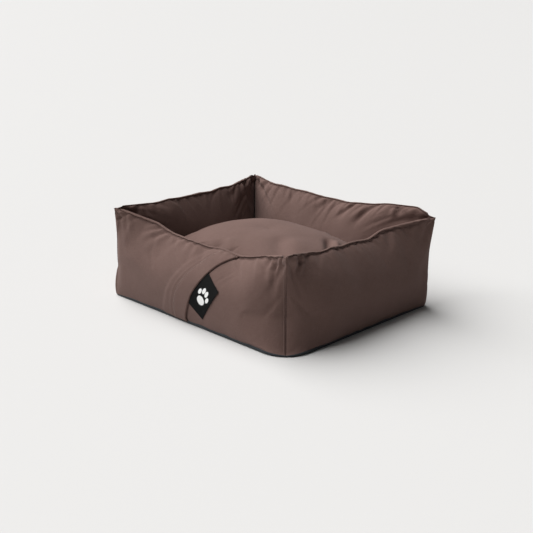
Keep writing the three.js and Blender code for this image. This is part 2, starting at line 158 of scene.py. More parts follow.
def sample(grid, across, up):
    """Smooth surface through a grid, at fractional column and row numbers, as whole arrays."""
    across, up = np.broadcast_arrays(across, up)
    columns, rows = grid.shape[:2]
    column = np.clip(np.floor(across).astype(int), 0, columns - 2)
    row = np.clip(np.floor(up).astype(int), 0, rows - 2)
    total = np.zeros(across.shape + grid.shape[2:])
    for i, share_i in enumerate(blend_weights(across - column)):
        for j, share_j in enumerate(blend_weights(up - row)):
            near = grid[np.clip(column + i - 1, 0, columns - 1), np.clip(row + j - 1, 0, rows - 1)]
            total += (share_i * share_j).reshape(across.shape + (1,) * (grid.ndim - 2)) * near
    return total


def normals_of(grid, outward):
    """Unit normals of a grid, turned to the side that outward says, 1 or -1."""
    along = np.gradient(grid, axis=0)
    up = np.gradient(grid, axis=1)
    return unit(np.cross(along, up)) * outward


def squared_ring(angle, power=4.2):
    """A rounded square of half-width 1: |x|^n + |y|^n = 1."""
    x, y = np.cos(angle), np.sin(angle)
    reach = (np.abs(x) ** power + np.abs(y) ** power) ** (-1 / power)
    return x * reach, y * reach


def lengths_along(grid, axis):
    """Distance run along a grid's columns or rows, from its first point."""
    steps = np.linalg.norm(np.diff(grid, axis=axis), axis=-1)
    start = np.zeros_like(np.take(steps, [0], axis=axis))
    return np.concatenate([start, np.cumsum(steps, axis=axis)], axis=axis)


# ---- Meshes ----

def add_object(name, points, faces):
    mesh = bpy.data.meshes.new(name)
    faces = faces.tolist() if isinstance(faces, np.ndarray) else faces
    mesh.from_pydata(points.reshape(-1, 3).tolist(), [], faces)
    piece = bpy.data.objects.new(name, mesh)
    bpy.context.scene.collection.objects.link(piece)
    return piece


def make_piece(name, points, faces, material, body, node=None, uv=None):
    """A smooth mesh that rides on a body and stands in for a node, where one is given. uv gives its
    cloth coordinates, a pair for each point."""
    piece = add_object(name, points, faces)
    mesh = piece.data
    mesh.polygons.foreach_set("use_smooth", np.ones(len(mesh.polygons), bool))
    if uv is not None:
        corners = np.zeros(len(mesh.loops), np.int32)
        mesh.loops.foreach_get("vertex_index", corners)
        layer = mesh.uv_layers.new(name="weave")
        layer.data.foreach_set("uv", uv.reshape(-1, 2)[corners].astype(np.float32).ravel())
    mesh.materials.append(material)
    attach(piece, body)
    if node:
        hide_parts(node)
    return piece


def grid_faces(columns, rows, outward=1, round_columns=False, round_rows=False):
    """Four-sided faces of a grid whose points run row by row inside each column."""
    i, j = np.meshgrid(
        np.arange(columns if round_columns else columns - 1),
        np.arange(rows if round_rows else rows - 1), indexing="ij")
    i, j = i.ravel(), j.ravel()
    k, m = (i + 1) % columns, (j + 1) % rows
    faces = np.stack([i * rows + j, k * rows + j, k * rows + m, i * rows + m], 1)
    return faces if outward > 0 else faces[:, ::-1]


def closed_rings(columns, rows):
    """Faces of a ring grid whose first and last rows are closed by one flat face each."""
    faces = grid_faces(columns, rows, 1, round_columns=True).tolist()
    faces.append([i * rows for i in range(columns)][::-1])
    faces.append([i * rows + rows - 1 for i in range(columns)])
    return faces


def cloth_uv(grid):
    """Cloth coordinates in metres: run along the columns and up the rows of a grid."""
    return np.stack([lengths_along(grid, 0), lengths_along(grid, 1)], -1)


def thicken(piece, thickness=CLOTH):
    """The seen face stays where it is, and the cloth's thickness goes inwards."""
    solid = piece.modifiers.new("thickness", "SOLIDIFY")
    solid.thickness = thickness
    solid.offset = -1


def sheet_piece(name, grid, outward, material, node, thickness=CLOTH, uv=None):
    """A sheet of cloth on the tray: its seen face is the grid."""
    uv = cloth_uv(grid) if uv is None else uv
    faces = grid_faces(*grid.shape[:2], outward)
    piece = make_piece(name, grid, faces, material, "tray", node, uv)
    thicken(piece, thickness)
    return piece


def stitch_run(path, normals, length=2.6 * MM, gap=1.0 * MM, radius=0.32 * MM):
    """Points and faces of a row of stitches: short six-sided threads that dip at both ends."""
    run = lengths_along(path[None], 1)[0]
    count = max(int(run[-1] / (length + gap)), 1)
    starts = np.arange(count) * run[-1] / count
    shares = np.array([0, 0.15, 0.5, 0.85, 1])
    at = starts[:, None] + shares[None] * length
    centre = np.stack([np.interp(at, run, path[:, k]) for k in range(3)], -1)
    up = unit(np.stack([np.interp(at, run, normals[:, k]) for k in range(3)], -1))
    along = unit(np.gradient(centre, axis=1))
    side = unit(np.cross(along, up))
    lift = np.array([-0.9, 0.2, 0.55, 0.2, -0.9]) * radius
    thick = np.array([0.35, 0.95, 1, 0.95, 0.35]) * radius
    angle = np.arange(6) * math.tau / 6
    ring = (side[:, :, None] * np.cos(angle)[:, None] + up[:, :, None] * np.sin(angle)[:, None])
    points = centre[:, :, None] + up[:, :, None] * lift[:, None, None] + ring * thick[:, None, None]
    one = grid_faces(5, 6, -1, round_rows=True)
    faces = (one[None] + (np.arange(count) * 30)[:, None, None]).reshape(-1, 4)
    return points.reshape(-1, 3), faces


def swept_piece(name, path, side, up, profile, size, node):
    """A canvas band: a closed profile of (side, up) pairs carried along a path at the given sizes,
    its ends closed."""
    profile = profile[None] * size[:, None, None]
    points = path[:, None] + side[:, None] * profile[..., :1] + up[:, None] * profile[..., 1:]
    count, ring = points.shape[:2]
    faces = grid_faces(count, ring, -1, round_rows=True).tolist()
    faces.append(list(range(ring)))
    faces.append(list(range(count * ring - 1, (count - 1) * ring - 1, -1)))
    return make_piece(name, points, faces, CANVAS, "tray", node, cloth_uv(points))


# ---- Materials ----

def new_material(name):
    material = bpy.data.materials.new(name)
    material.use_nodes = True
    tree = material.node_tree
    return material, tree, tree.nodes["Principled BSDF"]


def add_math(tree, operation, a, b):
    node = tree.nodes.new("ShaderNodeMath")
    node.operation = operation
    for socket, value in zip(node.inputs, (a, b)):
        if isinstance(value, (int, float)):
            socket.default_value = value
        else:
            tree.links.new(value, socket)
    return node.outputs[0]


def stretched_noise(tree, coordinates, scales, detail=2.0):
    """Noise drawn out along one thread direction."""
    mapping = tree.nodes.new("ShaderNodeMapping")
    mapping.inputs["Scale"].default_value = (*scales, 1)
    tree.links.new(coordinates, mapping.inputs["Vector"])
    noise = tree.nodes.new("ShaderNodeTexNoise")
    noise.inputs["Scale"].default_value = 1
    noise.inputs["Detail"].default_value = detail
    tree.links.new(mapping.outputs[0], noise.inputs["Vector"])
    return noise.outputs["Fac"]


def add_surface(tree, shader, shade, stops, colours, height, strength, relief):
    """Colour between two stops of a shade, and bumps from a height."""
    links = tree.links
    ramp = tree.nodes.new("ShaderNodeValToRGB")
    for stop, position, colour in zip(ramp.color_ramp.elements, stops, colours):
        stop.position = position
        stop.color = (*colour, 1)
    links.new(shade, ramp.inputs[0])
    links.new(ramp.outputs[0], shader.inputs["Base Color"])
    bumps = tree.nodes.new("ShaderNodeBump")
    bumps.inputs["Strength"].default_value = strength
    bumps.inputs["Distance"].default_value = relief
    links.new(height, bumps.inputs["Height"])
    links.new(bumps.outputs[0], shader.inputs["Normal"])


def woven_cloth(name, dark, light, pitch=0.8 * MM, roughness=0.92, sheen=0.06, relief=0.25 * MM,
                upright=False):
    """Plain weave: warp and weft threads cross over and under, with slubs along both. It lies on the
    piece's cloth coordinates, or on the object's own X and Z for an upright tape."""
    material, tree, shader = new_material(name)
    if upright:
        weave = tree.nodes.new("ShaderNodeMapping")
        weave.inputs["Rotation"].default_value = (-math.pi / 2, 0, 0)
        place = tree.nodes.new("ShaderNodeTexCoord")
        tree.links.new(place.outputs["Object"], weave.inputs["Vector"])
    else:
        weave = tree.nodes.new("ShaderNodeUVMap")
        weave.uv_map = "weave"
    split = tree.nodes.new("ShaderNodeSeparateXYZ")
    tree.links.new(weave.outputs[0], split.inputs[0])
    turns = math.tau / (2 * pitch)
    waves = []
    for axis in ("X", "Y"):
        phase = add_math(tree, "MULTIPLY", split.outputs[axis], turns)
        waves.append(add_math(tree, "SINE", phase, 0.0))
    over = add_math(tree, "MULTIPLY", waves[0], waves[1])
    threads = add_math(tree, "ABSOLUTE", over, 0.0)
    long_slub = stretched_noise(tree, weave.outputs[0], (60, 900))
    cross_slub = stretched_noise(tree, weave.outputs[0], (900, 60))
    wide = stretched_noise(tree, weave.outputs[0], (14, 14), 4.0)
    slubs = add_math(tree, "ADD", long_slub, cross_slub)
    tone = add_math(tree, "ADD", add_math(tree, "MULTIPLY", slubs, 0.35),
                    add_math(tree, "MULTIPLY", wide, 0.3))
    shade = add_math(tree, "ADD", tone, add_math(tree, "MULTIPLY", threads, 0.2))
    height = add_math(tree, "ADD", threads, add_math(tree, "MULTIPLY", slubs, 1.2))
    add_surface(tree, shader, shade, (0.25, 0.85), (dark, light), height, 0.5, relief)
    shader.inputs["Roughness"].default_value = roughness
    shader.inputs["Specular IOR Level"].default_value = 0.12
    shader.inputs["Sheen Weight"].default_value = sheen
    shader.inputs["Sheen Roughness"].default_value = 0.5
    return material


def plain_finish(name, colour, roughness, metallic=0.0, grain=0.15 * MM, scale=900):
    """A solid colour with fine mottling in its tone and surface."""
    material, tree, shader = new_material(name)
    place = tree.nodes.new("ShaderNodeTexCoord")
    noise = tree.nodes.new("ShaderNodeTexNoise")
    noise.inputs["Scale"].default_value = scale
    noise.inputs["Detail"].default_value = 3
    tree.links.new(place.outputs["Object"], noise.inputs["Vector"])
    mottle = noise.outputs["Fac"]
    darker = [c * 0.82 for c in colour]
    add_surface(tree, shader, mottle, (0.3, 0.7), (darker, colour), mottle, 0.4, grain)
    shader.inputs["Roughness"].default_value = roughness
    shader.inputs["Metallic"].default_value = metallic
    return material


CANVAS = woven_cloth("brown_canvas", (0.106, 0.064, 0.054), (0.178, 0.111, 0.096))
BASE_CLOTH = woven_cloth("charcoal_base_cloth", (0.018, 0.021, 0.024), (0.045, 0.050, 0.055), 0.7 * MM)
LABEL_CLOTH = woven_cloth("black_label_weave", (0.003, 0.003, 0.003), (0.008, 0.008, 0.008), 0.35 * MM,
                          0.9, 0.0, 0.08 * MM)
LABEL_PRINT = woven_cloth("white_label_weave", (0.75, 0.75, 0.74), (0.92, 0.92, 0.91), 0.35 * MM,
                          0.9, 0.0, 0.08 * MM)
FIBRE = plain_finish("fibre_filling", (0.80, 0.78, 0.74), 1.0, grain=1.5 * MM, scale=220)
SEAM_THREAD = plain_finish("sewing_thread", (0.34, 0.245, 0.215), 0.7)
DARK_THREAD = plain_finish("dark_sewing_thread", (0.085, 0.055, 0.048), 0.7)
TAPE_CLOTH = woven_cloth("zip_tape_weave", (0.05, 0.032, 0.026), (0.09, 0.06, 0.05), 0.5 * MM, upright=True)
ZIP_COIL = plain_finish("zip_coil", (0.06, 0.04, 0.034), 0.35)
ZIP_METAL = plain_finish("slider_metal", (0.45, 0.45, 0.44), 0.32, 0.9)


# ---- The stuffed shell of the four walls ----

def ridge_middle(wall):
    """Height and inset of a ridge, mid-wall, from the box of its seam."""
    low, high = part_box(f"ridge_seam_{wall}")
    inward = {"front": high.y, "right": -low.x, "back": -low.y, "left": high.x}[wall]
    return low.z + RIDGE_SEAM + RIDGE_RISE[wall], OUTER_PLANE[wall] + inward - RIDGE_SEAM / 2


def to_frame(wall, along, depth, height):
    """A wall's own along, depth and height turned into the frame."""
    turn = WALLS.index(wall) * math.pi / 2
    out = OUTER_PLANE[wall] - depth
    x = np.cos(turn) * along + np.sin(turn) * out
    y = np.sin(turn) * along - np.cos(turn) * out
    return np.stack(np.broadcast_arrays(x, y, height), -1)


def half_run(wall):
    return OUTER_PLANE["right" if wall in ("front", "back") else "front"]


def wander(count, size, waves):
    """A smooth random line of a few waves that starts and ends at nothing."""
    share = np.linspace(0, 1, count)
    phase = rng.uniform(0, math.tau, waves)
    height = rng.normal(0, 1, waves) / np.sqrt(np.arange(1, waves + 1))
    turns = np.arange(1, waves + 1)[:, None] * math.tau * 0.8
    line = (height[:, None] * np.sin(turns * share + phase[:, None])).sum(0)
    return size * line * np.sin(math.pi * share)


def wall_columns(wall):
    return int(round(2 * half_run(wall) / SIM_STEP)) + 1


OUTER_ROWS = 34          # rows of a wall's outer face,
LOW_ROWS = 12            # of which this many lie below its widest line
INNER_ROWS = 32
BOTTOM_ROWS = 8
RIDGE_ROW = OUTER_ROWS - 1
INNER_END = RIDGE_ROW + INNER_ROWS - 1


def rounded(away, radii):
    """Depth of a wall's two round corners at each distance along it from its sharp ends. A column
    that leans with the mitre by m meets a circle of radius R where
    (R - a - m D)^2 + (R - D)^2 = R^2, a being its distance from the end and D its depth."""
    depth = 0
    for distance, radius in zip(away, radii):
        lean = 1 - distance / (distance.max() / 2)
        short = np.maximum(radius - distance, 0)
        middle = lean * short + radius
        square = 1 + lean ** 2
        depth = depth + (middle - np.sqrt(np.maximum(middle ** 2 - square * short ** 2, 0))) / square
    return depth


def wall_rows(wall):
    """The wall's outer face from foot to ridge and its inner face from ridge to foot, then the
    underside. Each column lies in a plane that leans with the mitre, so that walls meet there."""
    lean = np.linspace(-1, 1, wall_columns(wall))
    half = half_run(wall)
    k = WALLS.index(wall)
    ends = CORNERS[k], CORNERS[(k + 1) % 4]
    ears = [EAR_HEIGHT[end] for end in ends]
    waist, lower, foot_round = zip(*[CORNER_ROUND[end] for end in ends])
    away = [half * (1 + lean), half * (1 - lean)]
    corners = [np.clip(1 - d / CORNER_RUN, 0, 1) ** 2 for d in away]
    corner = sum(corners)
    valley = sum(np.clip(1 - d / VALLEY_RUN, 0, 1) ** 2 for d in away)
    middle, inset_middle = ridge_middle(wall)
    ridge = middle + sum(np.clip(1 - d / EAR_CLIMB, 0, 1) ** 1.4 * (ear - middle)
                         for d, ear in zip(away, ears))
    turns = [np.clip(1 - d / RIDGE_RUN, 0, 1) ** 1.4 for d in away]
    inset = inset_middle * (1 - sum(turns)) + sum(turn * EAR_INSET[end] for turn, end in zip(turns, ends))
    if wall == "back":
        beside = np.where(away[0] < EAR_PEAK_RUN, ease((away[0] + 6 * MM) / EAR_PEAK_RUN),
                          bump(away[0], EAR_PEAK_RUN, 2.2 * EAR_PEAK_RUN))
        ridge = ridge + EAR_PEAK * beside
        inset = inset - 0.35 * inset_middle * beside * ease(away[0] / EAR_PEAK_RUN)
    ridge = ridge - sum(EAR_BLUNT[end] * bump(d, 0, 10 * MM) for d, end in zip(away, ends))
    ridge = ridge + wander(len(lean), 1.6 * MM, 9)
    inset = inset + wander(len(lean), 1.5 * MM, 6)

    sweep = sum(CORNER_SWEEP[end] * np.clip(1 - d / SWEEP_RUN, 0, 1) ** 2 for d, end in zip(away, ends))
    tuck = rounded(away, waist) + sweep
    low_tuck = rounded(away, lower) + 0.6 * sweep
    foot = mix(FOOT_INSET, CORNER_FOOT_INSET, corner) + rounded(away, foot_round)
    lift = mix(FOOT_LIFT, CORNER_FOOT_LIFT, corner) + np.abs(wander(len(lean), 1.2 * MM, 12))
    shoulder = mix(ridge, BULGE_HEIGHT, 0.45)
    low = bezier([(foot, lift), (mix(low_tuck, foot, 0.3), lift + 5 * MM),
                  (low_tuck, BULGE_HEIGHT * 0.5), (tuck, BULGE_HEIGHT)],
                 np.linspace(0, 1, LOW_ROWS))
    high = bezier([(tuck, BULGE_HEIGHT), (tuck, shoulder),
                   (mix(tuck, inset, 0.4), mix(ridge - TOP_ROLL, shoulder, corner)), (inset, ridge)],
                  np.linspace(0, 1, OUTER_ROWS - LOW_ROWS + 1))
    inner = bezier([(inset, ridge),
                    (mix(inset + ROLL, VALLEY_DEPTH, valley), mix(ridge - TOP_ROLL, VALLEY_HEIGHT, valley)),
                    (INNER_FOOT - mix(INNER_LEAN, VALLEY_LEAN, valley), 0.100 + 0 * lean),
                    (INNER_FOOT + 0 * lean, DECK_TOP + 0 * lean)], np.linspace(0, 1, INNER_ROWS))
    share = np.linspace(0, 1, BOTTOM_ROWS + 1)[None, 1:]
    bottom = np.stack([mix(INNER_FOOT, foot[:, None], share),
                       mix(WALL_FOOT, lift[:, None], share ** 3)], -1)
    section = np.concatenate([low, high[:, 1:], inner[:, 1:], bottom[:, :-1]], 1)
    along = lean[:, None] * (half - section[..., 0])
    return to_frame(wall, along, section[..., 0], section[..., 1])


def shell_grid():
    """One closed ring of columns for all four walls, and where each wall starts in it."""
    parts, starts, count = [], [], 0
    for wall in WALLS:
        rows = wall_rows(wall)
        starts.append(count)
        parts.append(rows[:-1])
        count += len(rows) - 1
    return np.concatenate(parts), starts


def wall_part(shell, starts, k):
    """The columns of wall k, both mitres included."""
    end = starts[k + 1] if k < 3 else len(shell)
    return shell[np.arange(starts[k], end + 1) % len(shell)]


shell, wall_starts = shell_grid()


# ---- Stuffing the shell ----

def hold_group(piece, name, weights):
    """A vertex group with the given weights, in steps of a hundredth."""
    group = piece.vertex_groups.new(name=name)
    steps = np.round(weights.ravel(), 2)
    for step in np.unique(steps[steps > 0]):
        group.add(np.flatnonzero(steps == step).tolist(), float(step), "REPLACE")


def stuff(name, grid, round_rows, held, slack, stuffing):
    """Cloth simulation: pressure fills a closed grid of cloth that is held where held is 1 and has
    spare cloth where slack is 1. Returns the filled grid."""
    pressure, frames, surplus = stuffing
    piece = add_object(name, grid, grid_faces(*grid.shape[:2], 1, True, round_rows))
    hold_group(piece, "held", held)
    hold_group(piece, "slack", slack)
    cloth = piece.modifiers.new("cloth", "CLOTH")
    fabric = cloth.settings
    fabric.quality = 5
    fabric.bending_stiffness = 0.3
    fabric.use_pressure = True
    fabric.uniform_pressure_force = pressure
    fabric.effector_weights.gravity = 0
    fabric.vertex_group_mass = "held"
    fabric.pin_stiffness = 1
    fabric.vertex_group_shrink = "slack"
    fabric.shrink_max = -surplus
    cloth.collision_settings.use_collision = False
    cloth.point_cache.frame_end = frames
    for step in range(1, frames + 1):
        bpy.context.scene.frame_set(step)
    filled = piece.evaluated_get(bpy.context.evaluated_depsgraph_get()).to_mesh()
    points = np.zeros(len(filled.vertices) * 3, np.float32)
    filled.vertices.foreach_get("co", points)
    bpy.data.objects.remove(piece)
    bpy.context.scene.frame_set(1)
    return points.reshape(grid.shape).astype(float)


def stuff_walls(grid):
    """The walls fill out: the foot, the deck edge and the ear tips are held, the ridge seam is held
    softly, and there is spare cloth beside the ridge for it to pucker."""
    columns, rows = grid.shape[:2]
    held = np.zeros((columns, rows))
    held[:, 0] = 1
    held[:, INNER_END - 1:] = 1
    held[:, RIDGE_ROW] = 0.5
    for start in wall_starts:
        held[start, :RIDGE_ROW] = 0.35
        held[start, RIDGE_ROW - 1:RIDGE_ROW + 2] = 1
    row = np.arange(rows)
    beside = bump(row, RIDGE_ROW, 9)
    slack = np.where((row > 0) & (row < INNER_END), mix(0.12, 1, beside), 0)
    slack = np.where(row == RIDGE_ROW, 0, slack) * np.ones((columns, 1))
    filled = stuff("stuffed_walls", grid, True, held, slack, WALL_STUFFING)
    filled[..., 2] = np.maximum(filled[..., 2], grid[..., 2].min())
    return filled


shell = stuff_walls(shell)


# ---- Finished faces of the walls ----

def face_grid(k, side):
    """A wall's outer or inner face, from foot to ridge, finely spaced, with its creases."""
    part = wall_part(shell, wall_starts, k)
    rows = part[:, :RIDGE_ROW + 1] if side == "outer" else part[:, RIDGE_ROW:INNER_END + 1][:, ::-1]
    columns = int(round(2 * half_run(WALLS[k]) / FINE_STEP)) + 1
    across = np.linspace(0, rows.shape[0] - 1, columns)[:, None]
    up = np.linspace(0, rows.shape[1] - 1, int(rows.shape[1] * SIM_STEP / FINE_STEP))[None]
    grid = sample(rows, across, up)
    outward = 1 if side == "outer" else -1
    relief = creases(grid, k, side)
    return grid + normals_of(grid, outward) * relief[..., None]


# Folds worked into each face by its corners: start and end as run from the wall's first end and drop
# from the ridge, then width and depth, all in millimetres. A run below zero counts from the far end.
FOLDS = {
    (0, "outer"): [
        ((2, 4), (40, 26), 4.5, 3.2), ((4, 26), (38, 5), 4.5, 3.0), ((30, 4), (62, 62), 7, 2.6),
        ((130, 2), (104, 44), 6, 2.4), ((152, 2), (120, 58), 7, 2.2), ((-60, 3), (-84, 46), 8, 2.6),
        ((-30, 4), (-62, 78), 9, 2.0),
    ],
    (0, "inner"): [
        ((8, 3), (44, 30), 5, 3.0), ((-50, 4), (-26, 40), 6, 3.0),
    ],
    (1, "outer"): [
        ((43, 1), (52, 22), 5.5, 6.5), ((54, 14), (36, 34), 5, 3.4), ((20, 30), (110, 44), 9, 1.6),
        ((-120, 4), (-160, 52), 8, 2.4), ((-60, 2), (-96, 40), 7, 2.2), ((-18, 8), (-50, 60), 8, 2.0),
    ],
    (1, "inner"): [
        ((20, 2), (52, 34), 6, 3.0), ((-36, 3), (-18, 40), 6, 3.0),
    ],
    (2, "inner"): [
        ((84, 8), (60, 30), 5, 5.0), ((140, 4), (172, 60), 8, 3.2), ((200, 4), (226, 44), 7, 2.6),
        ((-70, 3), (-30, 40), 6, 3.4), ((-30, 2), (-14, 30), 5, 3.4), ((270, 3), (300, 40), 7, 2.2),
    ],
    (2, "outer"): [
        ((10, 3), (44, 40), 6, 3.0), ((-12, 3), (-48, 44), 6, 3.0), ((-70, 2), (-110, 50), 7, 2.2),
    ],
    (3, "inner"): [
        ((62, 4), (16, 88), 6.5, 5.5), ((47, 1), (46, 22), 4.5, 4.5), ((24, 2), (13, 24), 4.5, 4.5),
        ((90, 10), (120, 34), 8, 2.2), ((-52, 4), (-26, 30), 5, 3.4), ((-16, 3), (-34, 34), 5, 3.4),
    ],
    (3, "outer"): [
        ((10, 3), (40, 46), 6, 2.6), ((-10, 3), (-44, 40), 6, 3.0), ((-60, 3), (-92, 60), 8, 2.0),
    ],
}
SWELLS = {   # run and drop of the middle, half-widths and height
    (1, "outer"): [((22, 8), (20, 14), 6.5)],
    (0, "outer"): [((18, 16), (16, 12), 2.0)],
    (2, "inner"): [((40, 16), (26, 14), 2.5)],
    (3, "inner"): [((36, 34), (16, 30), 4.0)],
}


def fold(along, down, total, spec):
    """A crease from one point to another: a dent with a swell along one side of it, fading at its
    far end: depth * fade * (0.7 bell beside - bell on the line)."""
    (run_a, drop_a), (run_b, drop_b), width, depth = spec
    start = np.array([run_a * MM + (total if run_a < 0 else 0), drop_a * MM])
    end = np.array([run_b * MM + (total if run_b < 0 else 0), drop_b * MM])
    length = np.linalg.norm(end - start)
    way = (end - start) / length
    share = ((along - start[0]) * way[0] + (down - start[1]) * way[1]) / length
    off = (along - start[0]) * way[1] - (down - start[1]) * way[0]
    fade = ease((share + 0.08) / 0.2) * ease((1.1 - share) / 0.6)
    wide = width * MM * mix(0.8, 1.5, np.clip(share, 0, 1))
    return depth * MM * fade * (0.7 * bump(off, 1.6 * wide, wide) - bump(off, 0, wide))


def creases(grid, k, side):
    """Relief of the cloth: puckers run off the ridge seam, longer folds off the ears, and the whole
    face rolls gently. Each is a narrow dent beside a swell, fading along its length."""
    along = lengths_along(grid, 0)[:, -1:]
    down = lengths_along(grid, 1)
    down = down[:, -1:] - down
    total = along[-1, 0]
    relief = np.zeros(down.shape)
    at = np.cumsum(rng.uniform(11 * MM, 27 * MM, 60))
    for start in at[at < total]:
        slant = rng.normal(0.25, 0.45)
        length = rng.uniform(18 * MM, 52 * MM)
        width = rng.uniform(4.0 * MM, 7.5 * MM)
        depth = rng.uniform(0.7 * MM, 2.0 * MM)
        off = along - start - slant * down
        fade = np.exp(-(down / length) ** 2) * ease(down / (5 * MM))
        relief += depth * fade * (0.6 * bump(off, width * 1.5, width * 1.2) - bump(off, 0, width))
    for end in (0, 1):
        for _ in range(4):
            slope = rng.uniform(0.35, 1.6)
            length = rng.uniform(45 * MM, 90 * MM)
            width = rng.uniform(6 * MM, 10 * MM)
            depth = rng.uniform(0.9 * MM, 2.4 * MM)
            from_end = along if end == 0 else total - along
            run = np.hypot(from_end, down)
            off = (from_end * slope - down) / math.hypot(1, slope)
            fade = np.exp(-(run / length) ** 2) * ease(run / (14 * MM))
            relief += depth * fade * (0.6 * bump(off, width * 1.4, width) - bump(off, 0, width))
    for _ in range(16):
        centre = rng.uniform(0, total), rng.uniform(10 * MM, 0.17)
        size = rng.uniform(18 * MM, 60 * MM, 2)
        relief += rng.normal(0, 1.3 * MM) * bump(along, centre[0], size[0]) * bump(down, centre[1], size[1])
    ends = ease(along / (8 * MM)) * ease((total - along) / (8 * MM))
    relief = relief * ends
    for spec in FOLDS.get((k, side), []):
        relief += fold(along, down, total, spec) * ends
    for (run, drop), (wide, tall), height in SWELLS.get((k, side), []):
        relief += height * MM * bump(along, run * MM, wide * MM) * bump(down, drop * MM, tall * MM) * ends
    relief *= ease(down / (4 * MM)) * ease((down[:, :1] - down) / (8 * MM))
    beside_seam = -0.9 * MM * bump(down, 6 * MM, 2.2 * MM) if side == "outer" else 0
    corner = -0.6 * MM * (bump(along, 0, 1.6 * MM) + bump(along, total, 1.6 * MM)) if side == "outer" else 0
    return relief + beside_seam + corner * ease(down / (5 * MM))


faces_of = {(k, side): face_grid(k, side) for k in range(4) for side in ("outer", "inner")}


def close_mitres():
    """Neighbouring faces share their mitre line."""
    for k in range(4):
        for side in ("outer", "inner"):
            here, after = faces_of[k, side], faces_of[(k + 1) % 4, side]
            shared = (here[-1] + after[0]) / 2
            here[-1] = shared
            after[0] = shared
    for k in range(4):
        outer, inner = faces_of[k, "outer"], faces_of[k, "inner"]
        shared = (outer[:, -1] + inner[:, -1]) / 2
        outer[:, -1] = shared
        inner[:, -1] = shared


close_mitres()


def add_panels():
    for k, wall in enumerate(WALLS):
        inner = faces_of[k, "inner"]
        node = f"inner_panel_{wall}"
        piece = sheet_piece(f"{node}_cloth", inner, -1, CANVAS, node)
        if wall != "front":
            outer = faces_of[k, "outer"]
            node = f"outer_panel_{wall}"
            piece = sheet_piece(f"{node}_cloth", outer, 1, CANVAS, node)


add_panels()


# ---- The front wall's diagonal overlap ----

FRONT = faces_of[0, "outer"]
FRONT_NORMAL = normals_of(FRONT, 1)
# The lap's edge as a smooth curve: distance along against share of the way up
LAP_CURVE = np.polyfit(*zip(*LAP_EDGE), 5)
FRONT_HEIGHT = float(lengths_along(FRONT, 1)[len(FRONT) // 2, -1])


def lap_x(share):
    """Where the overlap's edge crosses the front at a share of the way up the cloth."""
    return np.polyval(LAP_CURVE, share)


def lap_slant(share):
    """How much longer a cut straight along the wall is than one square to the overlap's edge."""
    return np.hypot(1, np.polyval(np.polyder(LAP_CURVE), share) / FRONT_HEIGHT)


def front_at(x, height):
    """Column and row numbers of the front face at a distance along it and a height, found by
    stepping towards them."""
    columns, rows = FRONT.shape[:2]
    column = np.full(x.shape, columns / 2)
    row = np.full(x.shape, rows / 3)
    for _ in range(60):
        here = sample(FRONT, column, row)
        column = np.clip(column + 0.8 * (x - here[..., 0]) / FINE_STEP, 0, columns - 1)
        row = np.clip(row + 0.8 * (height - here[..., 2]) / FINE_STEP, 0, rows - 1)
    return column, row


def front_cloth(x, share, lift):
    """Points of the front at x along it and a share of the way up, lifted off the cloth."""
    columns, rows = FRONT.shape[:2]
    up = share * (rows - 1)
    row_x = FRONT[:, :, 0]
    index = np.arange(columns, dtype=float)
    across = np.empty(np.broadcast(x, share).shape)
    up_grid = np.broadcast_to(up, across.shape)
    nearest = np.clip(np.round(up_grid[0]).astype(int), 0, rows - 1)
    for j, row in enumerate(nearest):
        across[:, j] = np.interp(x[:, j], row_x[:, row], index)
    point = sample(FRONT, across, up_grid)
    normal = unit(sample(FRONT_NORMAL, across, up_grid))
    return point + normal * lift[..., None], normal


def add_front():
    share = np.linspace(0, 1, FRONT.shape[1])[None]
    edge = lap_x(share)
    left = FRONT[0, :, 0][None]
    right = FRONT[-1, :, 0][None]

    # The upper panel: its hem is a fold that steps up near the free edge
    coarse = mix(LAP_FINE, edge - left, np.linspace(1, 1 / 70, 60)[:, None])
    fine = np.concatenate([np.linspace(LAP_FINE, 1.5 * MM, 40), [0.8 * MM, 0.3 * MM, 0]])[:, None]
    run = np.concatenate([coarse, fine + 0 * edge])
    x = edge - run
    hem = HEM * lap_slant(share)
    lift = 1.5 * MM * ease((0.080 - run) / 0.012) + 1.3 * MM * ease((hem + 2 * MM - run) / (4 * MM))
    lift = lift - 1.1 * MM * bump(run, hem - 3 * MM, 1.8 * MM)
    lift = lift + 0.6 * MM * bump(run, hem + 6 * MM, 4 * MM)
    lift = lift - 1.6 * MM * (1 - ease(run / (1.8 * MM)))
    grid, _ = front_cloth(x, share + 0 * x, lift)
    piece = sheet_piece("front_overlap_cloth", grid, 1, CANVAS, "front_panel_overlap",
                        CLOTH * 1.4)

    stitch_x = edge - (hem - 3 * MM)
    line, normal = front_cloth(stitch_x, share, np.full(edge.shape, 2.1 * MM))
    points, faces = stitch_run(line[0], normal[0], radius=0.5 * MM)
    make_piece("hem_stitching", points, faces, SEAM_THREAD, "tray")

    # The lower panel runs in under it
    close = np.arange(-LAP_DEPTH, 12 * MM, 1 * MM)[:, None]
    beyond = mix(close[-1:], right - edge, np.linspace(0.01, 1, 90)[:, None])
    x = edge + np.concatenate([close + 0 * edge, beyond])
    crease = -0.15 * MM - 1.5 * MM * bump(x - edge, 0.5 * MM, 2.5 * MM)
    grid, _ = front_cloth(x, share + 0 * x, crease)
    piece = sheet_piece("front_underlap_cloth", grid, 1, CANVAS, "front_panel_underlap")


add_front()


# ---- Label ----

def paw_pads():
    """Centres and sizes of a paw mark's pad and four toes, in shares of the label's width."""
    return [(0.50, 0.30, 0.25, 0.19), (0.20, 0.58, 0.095, 0.135), (0.39, 0.76, 0.100, 0.150),
            (0.61, 0.76, 0.100, 0.150), (0.80, 0.58, 0.095, 0.135)]


